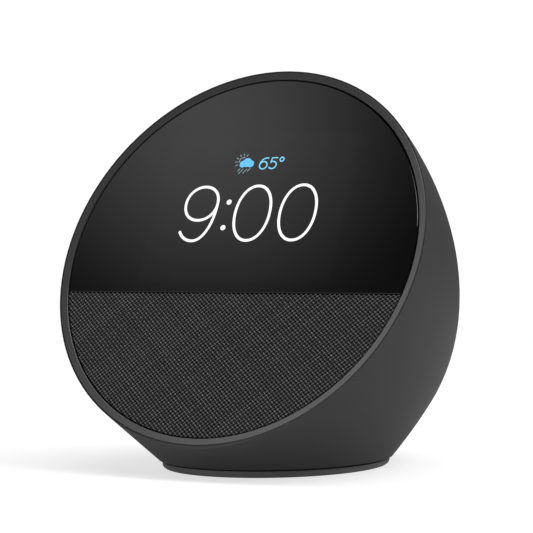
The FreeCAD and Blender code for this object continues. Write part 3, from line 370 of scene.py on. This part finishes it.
YARN_PITCH = 0.935 * MM        # between neighbouring threads
YARN_ANGLE = math.radians(40.6)  # each set of threads runs this far off level
YARN_STEPS = 7                 # mesh cells from thread to thread
YARN_HALF = 0.24               # half a thread's width, in pitches
CLOTH_DEPTH = 0.46 * MM        # from the top of a thread to the bottom of a hollow
YARN_DIP = 0.26                # how much a thread rises and sinks, as a share of its height
CLOTH_MIDDLE_Y = -32 * MM      # middle of the lattice, up the face
CLOTH_TURN = 1.0 * MM          # how far the cloth's edge goes down round the grille
CLOTH_EDGE_DROP = 0.3          # the outline starts this share of the cloth's depth lower
CLOTH_SEED = 7
CLOTH_REACH = 1.5              # the lattice goes this many lens radii each way from its middle
YARN_TINTS = (0.15, 1.0)       # a thread's own tint, between these
TINT_PATCHES = 0.12            # and how much the tint varies from point to point


def cloth_mesh():
    """The grille cloth as one sheet, its two sets of threads and the hollows between them in relief."""
    along_a = np.array([math.cos(YARN_ANGLE), -math.sin(YARN_ANGLE)])
    along_b = np.array([math.cos(YARN_ANGLE), math.sin(YARN_ANGLE)])
    side = YARN_PITCH / math.sin(2 * YARN_ANGLE)
    radius = LENS_RADIUS
    top = SPLIT_Y - SPLIT_GAP / 2
    reach = int(CLOTH_REACH * radius / side * YARN_STEPS)
    steps = np.arange(-reach, reach + 1)
    i, j = np.meshgrid(steps, steps, indexing="ij")
    flat = (i[..., None] * along_a + j[..., None] * along_b) * side / YARN_STEPS
    flat[..., 1] += CLOTH_MIDDLE_Y

    inside = (np.hypot(flat[..., 0], flat[..., 1]) <= radius) & (flat[..., 1] <= top)
    # j counts the threads of set A, which run along i, and the other way round
    from_a = np.abs((j / YARN_STEPS + 0.5) % 1.0 - 0.5)
    from_b = np.abs((i / YARN_STEPS + 0.5) % 1.0 - 0.5)
    number_a = np.round(j / YARN_STEPS).astype(int)
    number_b = np.round(i / YARN_STEPS).astype(int)

    def profile(offset):
        return np.sqrt(np.clip(1 - (offset / YARN_HALF) ** 2, 0, None))

    swing_a = np.cos(math.pi * i / YARN_STEPS) * np.where(number_a % 2, -1, 1)
    swing_b = -np.cos(math.pi * j / YARN_STEPS) * np.where(number_b % 2, -1, 1)
    height_a = profile(from_a) * (1 - YARN_DIP + YARN_DIP * swing_a)
    height_b = profile(from_b) * (1 - YARN_DIP + YARN_DIP * swing_b)
    height = np.maximum(height_a, height_b)

    rng = np.random.default_rng(CLOTH_SEED)
    tints = rng.uniform(*YARN_TINTS, (2, 2 * reach + 3))
    tint = np.where(height_a >= height_b,
                    tints[0][np.clip(number_a + reach, 0, 2 * reach)],
                    tints[1][np.clip(number_b + reach, 0, 2 * reach)])
    patches = rng.normal(0, TINT_PATCHES, height.shape)
    tint = np.clip(tint + patches, 0, 1)

    quads = inside[:-1, :-1] | inside[1:, :-1] | inside[1:, 1:] | inside[:-1, 1:]

    # points just outside the outline are drawn in to it
    x, y = flat[..., 0].copy(), flat[..., 1].copy()
    y = np.minimum(y, top)
    far = np.hypot(x, y)
    low = (far > radius) & (y < top)
    x = np.where(low, x * radius / far, x)
    y = np.where(low, y * radius / far, y)
    corner = math.sqrt(radius ** 2 - top ** 2)
    x = np.where(y >= top, np.clip(x, -corner, corner), x)

    number = np.full(inside.shape, -1)
    keep = np.zeros_like(inside)
    keep[:-1, :-1] |= quads
    keep[1:, :-1] |= quads
    keep[1:, 1:] |= quads
    keep[:-1, 1:] |= quads
    number[keep] = np.arange(keep.sum())
    points = np.stack([x[keep], y[keep], (height[keep] - 1) * CLOTH_DEPTH - GLASS_DEPTH], axis=1)
    rows, columns = np.nonzero(quads)
    faces = np.stack([number[rows, columns], number[rows + 1, columns],
                      number[rows + 1, columns + 1], number[rows, columns + 1]], axis=1)

    mesh = bpy.data.meshes.new("grille_cloth")
    mesh.from_pydata(points.tolist(), [], faces.tolist())
    for name, values in (("yarn_height", height[keep]), ("yarn_tint", tint[keep])):
        layer = mesh.attributes.new(name, "FLOAT", "POINT")
        layer.data.foreach_set("value", values.astype(np.float32))

    work = bmesh.new()
    work.from_mesh(mesh)
    bmesh.ops.remove_doubles(work, verts=work.verts, dist=0.004 * MM)
    bmesh.ops.dissolve_degenerate(work, edges=work.edges, dist=0.002 * MM)
    rim = [edge for edge in work.edges if edge.is_boundary]
    for vertex in {v for edge in rim for v in edge.verts}:
        vertex.co.z = min(vertex.co.z, -GLASS_DEPTH - CLOTH_EDGE_DROP * CLOTH_DEPTH)
    turned = bmesh.ops.extrude_edge_only(work, edges=rim)["geom"]
    for vertex in (g for g in turned if isinstance(g, bmesh.types.BMVert)):
        vertex.co.z = -GLASS_DEPTH - CLOTH_TURN
    bmesh.ops.recalc_face_normals(work, faces=work.faces)
    work.to_mesh(mesh)
    work.free()
    mesh.transform(FACE)
    mesh.shade_smooth()
    return mesh


def add_cloth(material):
    mesh = cloth_mesh()
    cloth = add_piece("grille_cloth", mesh, material)
    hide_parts("grille_fabric")


# ---------------------------------------------------------------- screen image
MARK_LIFT = 0.02 * MM          # the lit marks lie this far in front of the glass
MARK_THICKNESS = 0.02 * MM
DIGIT_STROKE = 0.82 * MM
SMALL_STROKE = 0.40 * MM
RING_STROKE = 0.38 * MM
RAY_STROKE = 0.28 * MM
RAIN_STROKE = 0.26 * MM
CAP_STEPS = 8                  # facets of a stroke's round end

# the figures on the face: places and half sizes in mm, angles in degrees
NOUGHTS_X = (2.08, 16.32)
NOUGHT_Y = 11.95
NOUGHT_HALF = (5.5, 8.35)
NINE_BOWL = dict(centre=(-15.05, 15.15), half_width=5.2, half_height=5.2, power=2.08)
NINE_STEM = dict(centre=(-15.45, 14.6), half_width=5.6, half_height=11.0, start=0, end=-90,
                 steps=30, power=2.1)
NINE_TAIL = dict(centre=(-15.45, 9.4), half_width=5.4, half_height=5.8, start=-90, end=-148, steps=14)
COLON_X = -6.25
COLON_Y = (15.45, 7.55)
COLON_RADIUS = 0.80
SIX_BOWL = dict(centre=(1.95, 26.75), half_width=1.18, half_height=1.15, steps=32)
SIX_BACK = dict(centre=(2.75, 26.9), half_width=1.98, half_height=2.1, start=180, end=78, steps=14)
FIVE_TOP = ((6.0, 29.0), (4.4, 29.0), (4.2, 27.55))
FIVE_BELLY = dict(centre=(4.85, 26.75), half_width=1.22, half_height=1.13, start=118, end=-140, steps=26)
DEGREE_RING = dict(centre=(7.55, 28.45), half_width=0.62, half_height=0.62, steps=24)
CLOUD_HUMPS = ((-4.80, 27.30, 1.05), (-3.50, 27.75, 1.40), (-2.20, 27.30, 1.05))  # x, y, radius
CLOUD_BASE = 26.25
CLOUD_STEPS = 48
SUN = Vector((-4.9, 28.1))
SUN_RADIUS = 1.25
SUN_ARC = (75, 190)
SUN_RAYS = (62, 92, 122, 152, 182, 212)
RAY_START, RAY_END = 1.85, 2.45
RAIN_SLOPE = (-0.62, -0.78)
RAIN = ((-5.3, 25.9, 1.05), (-4.35, 25.7, 1.75), (-3.1, 25.7, 1.6), (-2.1, 25.85, 1.1))  # x, y, length


def oval(centre, half_width, half_height, start=0.0, end=360.0, steps=72, power=2.0):
    """Points on a superellipse from one angle to another, in degrees."""
    points = []
    for k in range(steps + 1):
        angle = math.radians(start + (end - start) * k / steps)
        c, s = math.cos(angle), math.sin(angle)
        points.append(Vector((centre[0] + half_width * math.copysign(abs(c) ** (2 / power), c),
                              centre[1] + half_height * math.copysign(abs(s) ** (2 / power), s))))
    return points


def stroke(work, points, width, closed=False):
    """A flat line of that width through the points, with round ends, as a thin closed solid."""
    if closed:
        points = points[:-1]
    count = len(points)
    left, right = [], []
    for k in range(count):
        before = points[(k - 1) % count] if closed or k else points[k]
        after = points[(k + 1) % count] if closed or k < count - 1 else points[k]
        along = (after - before).normalized()
        across = Vector((-along.y, along.x)) * width / 2
        left.append(points[k] + across)
        right.append(points[k] - across)
    if closed:
        for k in range(count):
            n = (k + 1) % count
            slab(work, [left[k], right[k], right[n], left[n]], sides=(0, 2))
        return
    outline = list(left)
    for centre, first in ((points[-1], left[-1]), (points[0], right[0])):
        arm = first - centre
        for k in range(1, CAP_STEPS):
            turn = -math.pi * k / CAP_STEPS
            outline.append(centre + Matrix.Rotation(turn, 2) @ arm)
        if centre is points[-1]:
            outline += reversed(right)
    slab(work, outline)


def slab(work, outline, sides=None):
    """A thin plate with that outline in front of the glass. sides limits which walls it gets."""
    front = -GLASS_DEPTH + MARK_LIFT + MARK_THICKNESS
    back = -GLASS_DEPTH + MARK_LIFT
    high = [work.verts.new((p.x, p.y, front)) for p in outline]
    low = [work.verts.new((p.x, p.y, back)) for p in outline]
    work.faces.new(high)
    work.faces.new(reversed(low))
    count = len(outline)
    for k in range(count):
        if sides is None or k not in sides:
            n = (k + 1) % count
            work.faces.new((high[n], high[k], low[k], low[n]))


def mark_mesh(name, draw):
    work = bmesh.new()
    draw(work)
    bmesh.ops.remove_doubles(work, verts=work.verts, dist=0.0005 * MM)
    bmesh.ops.triangulate(work, faces=[f for f in work.faces if len(f.verts) > 4])
    bmesh.ops.recalc_face_normals(work, faces=work.faces)
    mesh = bpy.data.meshes.new(name)
    work.to_mesh(mesh)
    work.free()
    mesh.transform(FACE)
    return mesh


def in_mm(points):
    return [p * MM for p in points]


def draw_time(work):
    """The hour and minutes in thin upright figures."""
    for x in NOUGHTS_X:
        stroke(work, in_mm(oval((x, NOUGHT_Y), *NOUGHT_HALF, power=2.12)), DIGIT_STROKE, closed=True)
    stroke(work, in_mm(oval(**NINE_BOWL)), DIGIT_STROKE, closed=True)
    stroke(work, in_mm(oval(**NINE_STEM) + oval(**NINE_TAIL)[1:]), DIGIT_STROKE)
    for y in COLON_Y:
        slab(work, in_mm(oval((COLON_X, y), COLON_RADIUS, COLON_RADIUS, steps=24)[:-1]))


def draw_reading(work):
    """The temperature: two small figures and a degree ring."""
    stroke(work, in_mm(oval(**SIX_BOWL)), SMALL_STROKE, closed=True)
    stroke(work, in_mm(oval(**SIX_BACK)), SMALL_STROKE)
    stroke(work, in_mm([Vector(p) for p in FIVE_TOP]), SMALL_STROKE)
    stroke(work, in_mm(oval(**FIVE_BELLY)), SMALL_STROKE)
    stroke(work, in_mm(oval(**DEGREE_RING)), RING_STROKE, closed=True)


def draw_cloud(work):
    """A plain cloud: three round humps on a level base."""
    first = CLOUD_HUMPS[0][0] - CLOUD_HUMPS[0][2]
    last = CLOUD_HUMPS[-1][0] + CLOUD_HUMPS[-1][2]
    top, bottom = [], []
    for k in range(1, CLOUD_STEPS):
        x = first + (last - first) * k / CLOUD_STEPS
        crossed = [(y, math.sqrt(r * r - (x - middle) ** 2))
                   for middle, y, r in CLOUD_HUMPS if abs(x - middle) < r]
        top.append(Vector((x, max(y + half for y, half in crossed))))
        bottom.append(Vector((x, max(CLOUD_BASE, min(y - half for y, half in crossed)))))
    slab(work, in_mm(bottom + top[::-1]))


def draw_weather(work):
    """Sun rays and rain round the cloud."""
    stroke(work, in_mm(oval(SUN, SUN_RADIUS, SUN_RADIUS, *SUN_ARC, 14)), RAY_STROKE)
    for angle in SUN_RAYS:
        ray = Vector((math.cos(math.radians(angle)), math.sin(math.radians(angle))))
        stroke(work, in_mm([SUN + ray * RAY_START, SUN + ray * RAY_END]), RAY_STROKE)
    for x, y, length in RAIN:
        foot = Vector((x + RAIN_SLOPE[0] * length, y + RAIN_SLOPE[1] * length))
        stroke(work, in_mm([Vector((x, y)), foot]), RAIN_STROKE)


# each lit piece: its name, what draws it, its finish, colour and strength
MARKS = (
    ("time_figures", draw_time, "time_light", (1, 1, 1, 1), 1.1),
    ("weather_cloud", draw_cloud, "reading_light", (0.12, 0.58, 1.0, 1), 1.0),
    ("temperature_figures", draw_reading, "reading_glow", (0.22, 0.74, 1.0, 1), 0.95),
    ("weather_strokes", draw_weather, "weather_light", (0.38, 0.55, 0.62, 1), 0.55),
)


def add_marks():
    for name, draw, finish, colour, strength in MARKS:
        material = light_mark_finish(finish, colour, strength).material
        add_piece(name, mark_mesh(name, draw), material)


# ---------------------------------------------------------------- floor and light
AMBIENT = 0.08                 # light from all round
BACKDROP = 1.05                # brightness of the background, seen by the camera only
DISC_SEEN_AT = (-19, 42)       # mm, where on the face the glass mirrors the soft disc
DISC_DISTANCE = 0.8
DISC_RADIUS = 0.175
DISC_RADIANCE = 1.02
# each light: place, size and radiance
LIGHTS = {
    "overhead": ((0.2, 0.15, 1.3), (1.6, 1.6), 1.6),
    "key": ((-0.94, -0.34, 0.98), (0.5, 0.6), 2.3),
    "right_fill": ((0.95, 0.25, 1.15), (0.9, 1.1), 3.4),
    "front_fill": ((-0.3, -1.25, 0.14), (1.4, 0.26), 1.9),
}
LIGHTS_AIM = (0, 0, 0.05)
FLOOR_GLOW = 0.15              # the floor is lit from below as well, like a light table
FLOOR_GLOW_SEEN = 0.53         # and the camera sees this much more of it, so that it reads white
FLOOR_RADIUS = 1.2
FLOOR_FADE_START = 0.45        # the floor fades out between these distances
FLOOR_FADE_END = 1.1


def add_floor():
    """A pale floor that fades into the background well away from the object."""
    mesh = bpy.data.meshes.new("floor")
    work = bmesh.new()
    bmesh.ops.create_circle(work, cap_ends=True, segments=96, radius=FLOOR_RADIUS)
    work.to_mesh(mesh)
    work.free()
    floor = bpy.data.objects.new("floor", mesh)
    SCENE.collection.objects.link(floor)
    made = Finish("floor", Roughness=0.7)
    made.feed(made.shader.inputs["Base Color"], made.mixed(made.noise(0.2), tone(0.46), tone(0.49)))
    made.shader.inputs["Emission Color"].default_value = (1, 1, 1, 1)
    seen = made.node("ShaderNodeLightPath").outputs["Is Camera Ray"]
    glow = made.maths("ADD", made.maths("MULTIPLY", seen, FLOOR_GLOW_SEEN), FLOOR_GLOW)
    made.feed(made.shader.inputs["Emission Strength"], glow)
    away = made.node("ShaderNodeVectorMath", operation="LENGTH")
    made.feed(away.inputs[0], made.place)
    fade = made.ranged(away.outputs["Value"], 1.0, 0.0, FLOOR_FADE_START, FLOOR_FADE_END, smooth=True)
    made.feed(made.shader.inputs["Alpha"], fade)
    paint(floor, made.material)


def add_world():
    """Dim even light from all round, and a white background where the camera looks past the floor."""
    world = bpy.data.worlds.new("studio")
    SCENE.world = world
    world.use_nodes = True
    tree = world.node_tree
    tree.nodes.clear()
    out = tree.nodes.new("ShaderNodeOutputWorld")
    mix = tree.nodes.new("ShaderNodeMixShader")
    looked_at = tree.nodes.new("ShaderNodeLightPath").outputs["Is Camera Ray"]
    tree.links.new(looked_at, mix.inputs["Fac"])
    for socket, level in ((1, AMBIENT), (2, BACKDROP)):
        background = tree.nodes.new("ShaderNodeBackground")
        background.inputs["Color"].default_value = (1, 1, 1, 1)
        background.inputs["Strength"].default_value = level
        tree.links.new(background.outputs["Background"], mix.inputs[socket])
    tree.links.new(mix.outputs["Shader"], out.inputs["Surface"])


def aim(thing, place, target):
    thing.location = place
    thing.rotation_euler = (Vector(place) - Vector(target)).to_track_quat("Z", "Y").to_euler()


def add_panel_light(name, place, size, radiance):
    """A rectangular soft light. radiance is its brightness, where 1 is the white of the picture."""
    light = bpy.data.lights.new(name, "AREA")
    light.shape = "RECTANGLE"
    light.size, light.size_y = size
    light.energy = radiance * math.pi * size[0] * size[1]
    holder = bpy.data.objects.new(name, light)
    SCENE.collection.objects.link(holder)
    aim(holder, place, LIGHTS_AIM)


def mirrored_from(x, y, distance):
    """The place that the camera sees mirrored in the glass at that point of the face."""
    point = FACE @ Vector((x, y, -GLASS_DEPTH))
    seen = (point - SCENE.camera.matrix_world.translation).normalized()
    away = seen - 2 * seen.dot(FACE_OUT) * FACE_OUT
    return point + away * distance, point


def add_soft_disc():
    """A round light with a feathered edge. The glass mirrors it."""
    place, target = mirrored_from(DISC_SEEN_AT[0] * MM, DISC_SEEN_AT[1] * MM, DISC_DISTANCE)
    mesh = bpy.data.meshes.new("soft_disc")
    work = bmesh.new()
    bmesh.ops.create_circle(work, cap_ends=True, segments=64, radius=DISC_RADIUS)
    work.to_mesh(mesh)
    work.free()
    disc = bpy.data.objects.new("soft_disc", mesh)
    SCENE.collection.objects.link(disc)
    aim(disc, place, target)
    disc.visible_camera = False
    made = Finish("soft_disc")
    away = made.node("ShaderNodeVectorMath", operation="LENGTH")
    made.feed(away.inputs[0], made.place)
    glow = made.ranged(away.outputs["Value"], DISC_RADIANCE, 0.0, 0.0, DISC_RADIUS, smooth=True)
    emission = made.node("ShaderNodeEmission")
    made.feed(emission.inputs["Strength"], glow)
    clear = made.node("ShaderNodeBsdfTransparent")
    both = made.node("ShaderNodeAddShader")
    made.feed(both.inputs[0], emission.outputs["Emission"])
    made.feed(both.inputs[1], clear.outputs["BSDF"])
    made.feed(made.tree.nodes["Material Output"].inputs["Surface"], both.outputs["Shader"])
    paint(disc, made.material)


add_camera()
slot_materials = dress_nodes()
add_cloth(slot_materials["grille_fabric"])
add_marks()
add_floor()
add_world()
for light_name, (place, size, radiance) in LIGHTS.items():
    add_panel_light(light_name, place, size, radiance)
add_soft_disc()
SCENE.view_settings.view_transform = "Standard"
